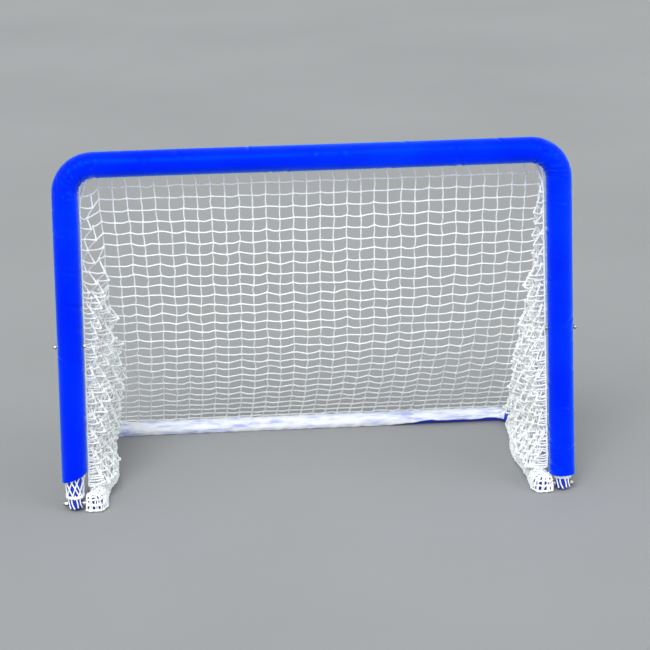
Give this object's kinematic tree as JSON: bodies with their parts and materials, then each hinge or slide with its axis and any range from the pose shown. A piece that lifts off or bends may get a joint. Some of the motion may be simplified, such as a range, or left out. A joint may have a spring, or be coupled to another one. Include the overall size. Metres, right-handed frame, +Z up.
{
  "type": "portable hockey goal",
  "caption": "Small portable hockey goal with a blue padded upright frame, a low ground frame, a slack white net and foot hinges that let it fold back.",
  "frame": {"origin": "on the ground, under the middle of the whole goal's box: halfway across the mouth and halfway from the front of the pads to the back of the rear bar", "axes": "+X across the mouth to the right seen from the front, +Y from the mouth to the back, +Z up"},
  "size_m": [1.4028, 0.636, 0.99],
  "materials": {
    "blue_steel": "gloss powder coat",
    "plated_steel": "plain plated",
    "zinc_hardware": "bright zinc",
    "plug_plastic": "moulded",
    "pad_foam": "closed-cell foam",
    "blue_vinyl": "coated vinyl cloth, slight sheen",
    "hook_and_loop": "hook and loop tape",
    "net_cord": "knotted white cord",
    "edge_rope": "braided white rope",
    "woven_hem": "white woven tape"
  },
  "bodies": {
    "ground_frame": {"left_side_bar": "blue_steel", "right_side_bar": "blue_steel", "rear_bar": "blue_steel", "rear_joint_spigots": "plated_steel", "rear_joint_bolts": "zinc_hardware", "rear_joint_nuts": "zinc_hardware", "side_bar_plugs": "plug_plastic", "hinge_bolts": "zinc_hardware", "hinge_nuts": "zinc_hardware", "hinge_spacers": "plated_steel", "hinge_washers": "zinc_hardware", "back_net": "net_cord", "left_side_net": "net_cord", "right_side_net": "net_cord", "net_side_ropes": "edge_rope", "net_rear_hem": "woven_hem"},
    "front_frame": {"left_lower_post": "blue_steel", "right_lower_post": "blue_steel", "left_upper_post": "blue_steel", "right_upper_post": "blue_steel", "crossbar": "blue_steel", "post_joint_spigots": "plated_steel", "crossbar_joint_spigots": "plated_steel", "post_foot_plugs": "plug_plastic", "left_post_foam": "pad_foam", "right_post_foam": "pad_foam", "crossbar_foam": "pad_foam", "vinyl_cover": "blue_vinyl", "post_joint_bolts": "zinc_hardware", "post_joint_nuts": "zinc_hardware", "post_joint_washers": "zinc_hardware", "left_post_closure": "hook_and_loop", "right_post_closure": "hook_and_loop", "crossbar_closure": "hook_and_loop", "net_head_rope": "edge_rope", "net_post_ropes": "edge_rope"}
  },
  "joints": [
    {"name": "foot_hinge", "type": "hinge", "parent": "ground_frame", "child": "front_frame", "pos_m": [0, -0.283, 0.019], "axis": [-1, 0, 0], "range_deg": [0, 64], "deforming": ["back_net", "left_side_net", "right_side_net"]}
  ]
}
